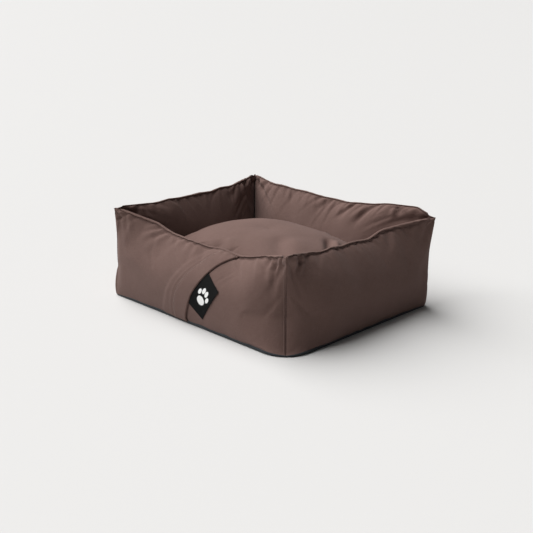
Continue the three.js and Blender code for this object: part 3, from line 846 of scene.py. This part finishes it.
def add_label():
    """A woven label with one long side tucked under the overlap's edge. It leans as the edge does."""
    width, length = LABEL
    columns, rows = 53, 88
    a, b = np.meshgrid(np.linspace(-3 * MM, width, columns), np.linspace(0, length, rows), indexing="ij")
    x = LABEL_CORNER[0] + math.sin(LABEL_LEAN) * a + math.cos(LABEL_LEAN) * b
    height = LABEL_CORNER[1] - math.cos(LABEL_LEAN) * a + math.sin(LABEL_LEAN) * b
    column, row = front_at(x, height)
    point = sample(FRONT, column, row)
    normal = unit(sample(FRONT_NORMAL, column, row))
    curl = 0.7 * MM + 0.9 * MM * ease((a - width * 0.7) / (width * 0.3)) * ease(b / length)
    curl = curl - 0.6 * MM * (1 - ease((a + 3 * MM) / (5 * MM)))
    grid = point + normal * curl[..., None]
    uv = np.stack([a, b], -1)
    sheet_piece("label_cloth", grid, 1, LABEL_CLOTH, "label", 0.35 * MM, uv)
    marks, mark_faces, mark_uv, count = [], [], [], 0
    spin = np.linspace(0, math.tau, 24, endpoint=False)
    for cx, cy, rx, ry in paw_pads():
        rings = np.array([0.0001, 0.5, 1.0])[:, None]
        ma = (cx * 0.86 + 0.07 + rx * 0.86 * rings * np.cos(spin)) * width
        mb = (cy + ry * rings * np.sin(spin)) * width + (length - width) / 2
        across = (ma + 3 * MM) / (width + 3 * MM) * (columns - 1)
        up = mb / length * (rows - 1)
        at = sample(grid, across, up)
        lift = sample(normal, across, up)
        marks.append((at + unit(lift) * 0.12 * MM).reshape(-1, 3))
        mark_faces.append(grid_faces(3, 24, 1, round_rows=True) + count)
        mark_uv.append(np.stack([ma, mb], -1).reshape(-1, 2))
        count += 72
    make_piece("label_paw_mark", np.concatenate(marks), np.concatenate(mark_faces), LABEL_PRINT,
               "tray", uv=np.concatenate(mark_uv))


add_label()


# ---- Seams ----

def add_ridge_seams():
    """A felled seam along each ridge: a raised band that lies over towards the outer panel."""
    angle = np.linspace(0, math.tau, 17)[:-1]
    profile = np.stack([np.cos(angle) * 2.9 * MM + 0.8 * MM, np.sin(angle) * 1.4 * MM + 0.9 * MM], 1)
    for k, wall in enumerate(WALLS):
        path = faces_of[k, "outer"][:, -1]
        outer = normals_of(faces_of[k, "outer"], 1)[:, -2]
        inner = normals_of(faces_of[k, "inner"], -1)[:, -2]
        along = unit(np.gradient(path, axis=0))
        up = unit(outer + inner)
        side = unit(np.cross(along, up))
        run = lengths_along(path[None], 1)[0]
        size = mix(0.45, 1, ease(np.minimum(run, run[-1] - run) / (14 * MM)))
        node = f"ridge_seam_{wall}"
        swept_piece(f"{node}_welt", path, side, up, profile, size, node)


def add_corner_seams():
    """A flat-felled strip down each corner, with a row of stitches near its free edge."""
    for k, name in enumerate(CORNERS):
        wall = 0 if k < 2 else 2
        face = faces_of[wall, "outer"]
        normal = normals_of(face, 1)
        near_end = k in (1, 3)
        run = np.array([0.4, 1.2, 4, 6.5, 8.2, 8.8]) * MM / FINE_STEP
        lift = np.array([-0.3, 0.45, 0.4, 0.4, 0.45, -0.2]) * MM
        last = face.shape[0] - 1
        across = (last - run[::-1] if near_end else run)[:, None]
        lift = (lift[::-1] if near_end else lift)[:, None]
        up = np.arange(face.shape[1], dtype=float)[None]
        grid = sample(face, across, up) + sample(normal, across, up) * lift[..., None]
        node = f"corner_seam_{name}"
        sheet_piece(f"{node}_strip", grid, 1, CANVAS, node, 0.5 * MM)
        at = 6.0 * MM / FINE_STEP
        across = np.full(up.shape, last - at if near_end else at)
        out = sample(normal, across, up)[0]
        line = sample(face, across, up)[0] + out * 0.55 * MM
        points, faces = stitch_run(line[3:-3], out[3:-3])
        make_piece(f"corner_stitching_{name}", points, faces, DARK_THREAD, "tray")


add_ridge_seams()
add_corner_seams()


# ---- Filling, base and deck ----

def add_fillings():
    """The wall's stuffing: its outer and inner faces paired row by row and both drawn in towards the
    surface midway between them, so that it stays inside however the wall bends."""
    for k, wall in enumerate(WALLS):
        part = wall_part(shell, wall_starts, k)[1:-1]
        outer = part[:, :RIDGE_ROW + 1]
        inner = part[:, RIDGE_ROW:INNER_END + 1][:, ::-1]
        columns = np.arange(len(part), dtype=float)[:, None]
        inner = sample(inner, columns, np.linspace(0, inner.shape[1] - 1, RIDGE_ROW + 1)[None])
        middle = (outer + inner) / 2
        thick = np.linalg.norm(outer - middle, axis=-1, keepdims=True)
        gap = np.linspace(FILLING_GAP, FILLING_TOP_GAP, thick.shape[1])[None, :, None]
        share = np.clip(1 - gap / np.maximum(thick, 1e-6), 0.08, 0.9)
        outer = mix(middle, outer, share)[:, 2:-FILLING_TOP_ROWS]
        inner = mix(middle, inner, share)[:, 2:-FILLING_TOP_ROWS]
        rows = outer.shape[1]
        grid = np.concatenate([outer, inner[:, ::-1]], 1)
        faces = grid_faces(len(grid), 2 * rows, 1, round_rows=True)
        row = np.arange(rows - 1)
        cap = np.stack([row, row + 1, 2 * rows - 2 - row, 2 * rows - 1 - row], 1)
        last = (len(grid) - 1) * 2 * rows
        faces = np.concatenate([faces, cap, cap[:, ::-1] + last])
        node = f"bolster_filling_{wall}"
        piece = make_piece(f"{node}_fibre", grid, faces, FIBRE, "tray", node)


add_fillings()


def add_base():
    """The dark base: a flat panel whose edge turns up to the canvas foot all round."""
    foot = np.concatenate([wall_part(shell, wall_starts, k)[:-1, 0] for k in range(4)])
    foot = foot + np.array([0, 0, 1.5 * MM])
    rings = []
    centre = foot.mean(axis=0)
    for scale, share in ((0.001, 0), (0.4, 0), (0.8, 0), (0.93, 0), (0.970, 0), (0.986, 0.06),
                         (0.995, 0.25), (0.999, 0.6), (0.995, 1.0)):
        ring = centre + (foot - centre) * scale
        ring[:, 2] = mix(0.4 * MM, foot[:, 2], share)
        rings.append(ring)
    grid = np.stack(rings, 1)
    columns, rows = grid.shape[:2]
    faces = grid_faces(columns, rows, -1, round_columns=True)
    piece = make_piece("base_panel_cloth", grid, faces, BASE_CLOTH, "tray", "base_panel",
                       grid[..., :2].copy())
    thicken(piece)


add_base()


def add_deck():
    """The floor of the well: a flat cloth with a slight roll in it."""
    low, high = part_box("deck_panel")
    x, y = np.meshgrid(np.linspace(low.x, high.x, 60), np.linspace(low.y, high.y, 44), indexing="ij")
    wave = 0.05 * MM
    z = high.z + wave * np.sin(x * 45) * np.sin(y * 52) - wave
    grid = np.stack([x, y, z], -1)
    piece = sheet_piece("deck_panel_cloth", grid, 1, CANVAS, "deck_panel")


def add_base_pad():
    """A flat pad: rings of a rounded rectangle at each height, each moved in by its inset."""
    low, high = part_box("base_pad")
    heights = [low.z, low.z, low.z + 1.5 * MM, (low.z + high.z) / 2, high.z - 1.5 * MM, high.z, high.z]
    insets = [0.11, 2 * MM, 0.3 * MM, 0.2 * MM, 0.3 * MM, 2 * MM, 0.11]
    x, y = squared_ring(np.linspace(0, math.tau, 120, endpoint=False))
    rings = [np.stack([x * (high.x - inset), y * (high.y - inset), np.full(len(x), height)], -1)
             for height, inset in zip(heights, insets)]
    grid = np.stack(rings, 1)
    piece = make_piece("base_pad_fibre", grid, closed_rings(*grid.shape[:2]), FIBRE, "tray",
                       "base_pad")


add_deck()
add_base_pad()


def declare_sheets():
    """The wall's panels, each listed with what is sewn to it, in a table that is built here and that
    nothing reads.
    """
    sewn_to = {f"inner_{wall}": [f"ridge_seam_{wall}_welt"] for wall in WALLS}
    for key, corners in (("overlap", ["front_left"]), ("underlap", ["front_right"]),
                         ("outer_back", ["back_left", "back_right"])):
        sewn_to[key] = [f"corner_{form}" for corner in corners
                        for form in (f"seam_{corner}_strip", f"stitching_{corner}")]
    sewn_to["overlap"].insert(0, "hem_stitching")
    sewn_to["underlap"] = ["label_cloth", "label_paw_mark"] + sewn_to["underlap"]


declare_sheets()


# ---- Cushion ----

CUSHION_COLUMNS = 190
CUSHION_FINE = 360
CUSHION_EDGE = 0.122     # height at which the cushion is widest
CUSHION_PULL = 3 * MM    # its sides pull in this much between the corners
CROWN_POWER = 2.1
FIBRE_SHARE = 0.88       # the filling is the cover's own form, smoothed and made smaller by this share
FIBRE_SMOOTHING = 40     # passes that even out the cover's folds in the filling
HELD_BELOW = 0.094       # the zip band and all below it keep their shape while the crown fills
# How far the side is drawn in at each height, from foot to the widest line
CUSHION_SIDE = ((0.010, 34 * MM), (0.012, 24 * MM), (0.018, 17 * MM), (0.030, 13.5 * MM),
                (0.048, 12 * MM), (0.062, 11.2 * MM), (0.0749, 9.0 * MM), (0.088, 7.6 * MM),
                (0.100, 3.6 * MM), (0.122, 0.0))


def cushion_ring(angle, scale, inset, height):
    """A rounded rectangle, |x/a|^n + |y/b|^n = 1 with n = 4.2, whose sides pull in between corners."""
    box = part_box("cushion_filling")[1]
    x, y = squared_ring(angle)
    corner = np.abs(np.sin(2 * angle)) ** 1.5
    pull = CUSHION_PULL * (1 - corner) * ease((height - 0.092) / 0.02)
    return np.stack([x * (box.x - inset - pull) * scale, y * (box.y - inset - pull) * scale,
                     np.full(len(angle), height)], -1)


def cushion_rows():
    """Rings of the whole cover: its underside from the middle out, the side up to the seam and on to
    the widest line, then the crown: edge + (crown - edge) * (1 - share^2.1). Also the seam's row."""
    angle = np.linspace(0, math.tau, CUSHION_COLUMNS, endpoint=False)
    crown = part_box("cushion_cover_top")[1].z
    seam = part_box("cushion_cover_bottom")[1].z
    foot, foot_inset = CUSHION_SIDE[0]
    rows = [cushion_ring(angle, share, foot_inset, foot) for share in (0.02, 0.25, 0.5, 0.75, 0.92)]
    heights, insets = zip(*CUSHION_SIDE)
    lower = [0.010, 0.0112, 0.0135, 0.018, 0.025, 0.034, 0.045, 0.056, 0.066]
    upper = [seam, 0.082, 0.089, 0.0955, 0.102, 0.109, 0.116]
    for height in lower + upper:
        rows.append(cushion_ring(angle, 1.0, np.interp(height, heights, insets), height))
        if height == seam:
            seam_row = len(rows) - 1
    for share in np.concatenate([[0.998, 0.99, 0.978], np.linspace(0.96, 0.03, 26)]):
        height = CUSHION_EDGE + (crown - CUSHION_EDGE) * (1 - share ** CROWN_POWER)
        rows.append(cushion_ring(angle, share, 0, height))
    return np.stack(rows, 1), seam_row


def stuff_cushion(grid):
    """The crown fills out: everything up to the zip band is held, and there is spare cloth above."""
    held = np.where(grid[..., 2] < HELD_BELOW, 1.0, 0)
    held[:, -1] = 0
    held[:, :6] = 1
    above = ease((grid[..., 2] - HELD_BELOW) / 0.02)
    near_edge = mix(0.25, 1, bump(grid[..., 2], CUSHION_EDGE, 0.02))
    return stuff("stuffed_cushion", grid, False, held, above * near_edge, CUSHION_STUFFING)


CUSHION_FOLDS = [   # start and end on the crown, width and depth, in metres
    ((0.122, 0.058), (0.172, 0.008), 0.0085, 0.0110),
    ((0.066, -0.035), (0.118, -0.085), 0.020, 0.0050),
    ((-0.040, -0.104), (-0.008, -0.142), 0.012, 0.0035),
    ((-0.150, -0.060), (-0.186, -0.085), 0.010, 0.0030),
    ((0.168, -0.060), (0.188, -0.090), 0.009, 0.0035),
    ((-0.060, 0.110), (-0.040, 0.139), 0.010, 0.0030),
    ((0.080, 0.105), (0.092, 0.139), 0.010, 0.0035),
    ((-0.165, 0.050), (-0.189, 0.062), 0.009, 0.0030),
]


def cushion_relief(grid):
    """Folds and soft hollows of the crown: the same dent and swell as the walls', placed on plan."""
    x, y, height = grid[..., 0], grid[..., 1], grid[..., 2]
    relief = np.zeros(x.shape)
    for (ax, ay), (bx, by), width, depth in CUSHION_FOLDS:
        length = math.hypot(bx - ax, by - ay)
        way = (bx - ax) / length, (by - ay) / length
        share = ((x - ax) * way[0] + (y - ay) * way[1]) / length
        off = (x - ax) * way[1] - (y - ay) * way[0]
        fade = ease((share + 0.25) / 0.5) * ease((1.5 - share) / 0.6)
        relief += depth * fade * (0.75 * bump(off, -1.7 * width, 1.3 * width) - bump(off, 0, width))
    for _ in range(14):
        at = rng.uniform(-0.17, 0.17), rng.uniform(-0.12, 0.12)
        size = rng.uniform(0.022, 0.055)
        relief += rng.normal(0, 0.9 * MM) * bump(np.hypot(x - at[0], y - at[1]), 0, size)
    return relief * ease((height - 0.100) / 0.015)


def smooth_rings(grid, columns, rows):
    """A ring grid resampled more finely, its columns wrapping round."""
    wrapped = np.concatenate([grid[-2:], grid, grid[:3]])
    across = np.linspace(2, 2 + len(grid), columns, endpoint=False)[:, None]
    up = np.linspace(0, grid.shape[1] - 1, rows)[None]
    return sample(wrapped, across, up)


def add_pole(grid, at_end):
    """A ring grid with one more row that closes it at its middle."""
    row = grid[:, -1:] if at_end else grid[:, :1]
    pole = np.broadcast_to(row.mean(axis=0, keepdims=True), row.shape)
    pole = pole + (row - pole) * 0.002
    return np.concatenate([grid, pole] if at_end else [pole, grid], 1)


def unrolled_uv(grid, from_end):
    """Cloth coordinates of a domed panel: each point lies its own cloth length out from the middle,
    in its own direction."""
    rows = grid[:, ::-1] if from_end else grid
    out = lengths_along(rows, 1)
    out = out[:, ::-1] if from_end else out
    return unit(grid[..., :2] + 1e-9) * out[..., None]


def add_cushion():
    grid, seam_row = cushion_rows()
    grid = stuff_cushion(grid)
    grid[..., 2] = np.maximum(grid[..., 2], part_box("cushion_cover_bottom")[0].z)
    top = smooth_rings(grid[:, seam_row:], CUSHION_FINE, 84)
    top = top + normals_of(top, 1) * cushion_relief(top)[..., None]
    top = add_pole(top, True)
    bottom = smooth_rings(grid[:, :seam_row + 1], CUSHION_FINE, 40)
    bottom[:, -1] = top[:, 0]
    bottom = add_pole(bottom, False)
    for name, cover, node, from_end in (("cushion_top_cloth", top, "cushion_cover_top", True),
                                        ("cushion_bottom_cloth", bottom, "cushion_cover_bottom", False)):
        faces = grid_faces(*cover.shape[:2], 1, round_columns=True)
        piece = make_piece(name, cover, faces, CANVAS, "cushion", node,
                           unrolled_uv(cover, from_end))
        thicken(piece)
    cover = np.concatenate([bottom[:, 2:-1], top[:, :-2]], 1)[::2]
    middle = (cover.min(axis=(0, 1)) + cover.max(axis=(0, 1))) / 2
    inner = middle + (cover - middle) * FIBRE_SHARE
    for _ in range(FIBRE_SMOOTHING):
        inner = (inner + (np.roll(inner, 1, 0) + np.roll(inner, -1, 0)) / 2) / 2
        inner[:, 1:-1] = (inner[:, 1:-1] + (inner[:, 2:] + inner[:, :-2]) / 2) / 2
    piece = make_piece("cushion_fibre", inner, closed_rings(*inner.shape[:2]), FIBRE, "cushion",
                       "cushion_filling")


add_cushion()


# ---- Zip in the cushion's rear seam ----

def rounded_block(low, high, columns=20, power=6.0):
    """Points and faces of a block with softened edges: |x/a|^n + |y/b|^n = 1 in plan, its upper and
    lower rims drawn in."""
    low, high = np.array(low), np.array(high)
    middle, half = (low + high) / 2, (high - low) / 2
    x, y = squared_ring(np.linspace(0, math.tau, columns, endpoint=False), power)
    rim = 0.22 * half.min()
    rings = []
    for height, inset in ((-1, half.min()), (-1, rim), (-1 + rim / half[2], 0), (1 - rim / half[2], 0),
                          (1, rim), (1, half.min())):
        rings.append(np.stack([middle[0] + x * (half[0] - inset * 0.98),
                               middle[1] + y * (half[1] - inset * 0.98),
                               np.full(columns, middle[2] + height * half[2])], -1))
    grid = np.stack(rings, 1)
    return grid.reshape(-1, 3), closed_rings(columns, len(rings))


def zip_piece(name, blocks, material, body, node):
    """One piece from several blocks, its cloth coordinates their own X and Z."""
    points, faces, count = [], [], 0
    for block_points, block_faces in blocks:
        points.append(block_points)
        faces += [[corner + count for corner in face] for face in block_faces]
        count += len(block_points)
    points = np.concatenate(points)
    make_piece(name, points, faces, material, body, node, points[:, [0, 2]])


ZIP_PITCH = 2.0 * MM


def add_zip():
    """Teeth of the chain from both tapes, meshed alternately, the two end stops, and the slider: two
    plates joined by a bridge, with a loop and no tab."""
    low, high = [np.array(v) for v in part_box("zip_chain")]
    deep = high[1] - low[1]
    middle = (low[2] + high[2]) / 2
    starts = np.arange(low[0] + 0.3 * MM, high[0] - 1.3 * MM, ZIP_PITCH / 2)
    teeth = []
    for index, start in enumerate(starts):
        upper = index % 2 == 0
        foot, tip = (high[2], middle - 1.0 * MM) if upper else (low[2], middle + 1.0 * MM)
        teeth.append(rounded_block((start, low[1] + 0.2 * deep, min(foot, tip)),
                                   (start + 0.8 * MM, low[1] + 0.85 * deep, max(foot, tip)), 8, 4.0))
    zip_piece("zip_chain_teeth", teeth, ZIP_COIL, "cushion", "zip_chain")
    for node in ("zip_stop_left", "zip_stop_right"):
        stop = rounded_block(*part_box(node), 24, 5.0)
        zip_piece(f"{node}_clamp", [stop], ZIP_METAL, "cushion", node)
    low, high = [np.array(v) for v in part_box("zip_slider")]
    wide = high[0] - low[0]
    middle = (low[2] + high[2]) / 2
    plate = 0.9 * MM
    inset = np.array([0.4 * MM, 0, 0.3 * MM])
    outer = rounded_block((low[0], high[1] - plate, low[2]), high, 32, 3.2)
    inner = rounded_block(low + inset, np.array([high[0], low[1] + plate, high[2]]) - inset, 32, 3.2)
    bridge = rounded_block((low[0] + 0.12 * wide, low[1] + plate * 0.5, middle - 0.9 * MM),
                           (low[0] + 0.34 * wide, high[1] - plate * 0.5, middle + 0.9 * MM), 20)
    loop = rounded_block((low[0] + 0.22 * wide, high[1] - 0.2 * MM, middle - 1.0 * MM),
                         (high[0] - 0.22 * wide, high[1] + 1.1 * MM, middle + 1.0 * MM), 24)
    zip_piece("zip_slider_body", [outer, inner, bridge, loop], ZIP_METAL, "zip_slider",
              "zip_slider")
    for node in ("zip_tape_upper", "zip_tape_lower"):
        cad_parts[node].data.materials.clear()
        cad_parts[node].data.materials.append(TAPE_CLOTH)


add_zip()


# ---- Studio ----

FLOOR_COLOUR = (0.56, 0.554, 0.546, 1)
FLOOR_HALF = 60.0
SKY_COLOUR = (1, 0.995, 0.985, 1)
SKY_STRENGTH = 0.10
WINDOW_STRENGTH = 5.6
WINDOW_SPREAD = math.radians(70)
WINDOW_ELEVATION = math.radians(52)
WINDOW_TURN = math.radians(-70)
CAMERA_LENS = 66.3       # millimetres, on a sensor of 36
CAMERA_PLACE = (1.4425, -1.4340, 0.7476)
CAMERA_TURN = (math.radians(71.75), 0, math.radians(45.29))


def add_studio():
    """A pale floor, one broad soft light high on the left, and the camera."""
    material, _, shader = new_material("pale_floor")
    shader.inputs["Base Color"].default_value = FLOOR_COLOUR
    shader.inputs["Roughness"].default_value = 0.9
    corners = FLOOR_HALF * np.array([(-1, -1, 0), (1, -1, 0), (1, 1, 0), (-1, 1, 0)])
    floor = add_object("floor", corners, [(0, 1, 2, 3)])
    floor.data.materials.append(material)

    world = bpy.data.worlds.new("studio")
    bpy.context.scene.world = world
    world.use_nodes = True
    world.node_tree.nodes["Background"].inputs["Color"].default_value = SKY_COLOUR
    world.node_tree.nodes["Background"].inputs["Strength"].default_value = SKY_STRENGTH

    light = bpy.data.lights.new("soft_window", "SUN")
    light.energy = WINDOW_STRENGTH
    light.angle = WINDOW_SPREAD
    lamp = bpy.data.objects.new("soft_window", light)
    lamp.rotation_euler = (math.pi / 2 - WINDOW_ELEVATION, 0, WINDOW_TURN)
    bpy.context.scene.collection.objects.link(lamp)

    camera = bpy.data.cameras.new("camera")
    camera.sensor_width = 36
    camera.lens = CAMERA_LENS
    eye = bpy.data.objects.new("camera", camera)
    eye.location = CAMERA_PLACE
    eye.rotation_euler = CAMERA_TURN
    bpy.context.scene.collection.objects.link(eye)
    bpy.context.scene.camera = eye
    bpy.context.scene.view_settings.view_transform = "Standard"


add_studio()
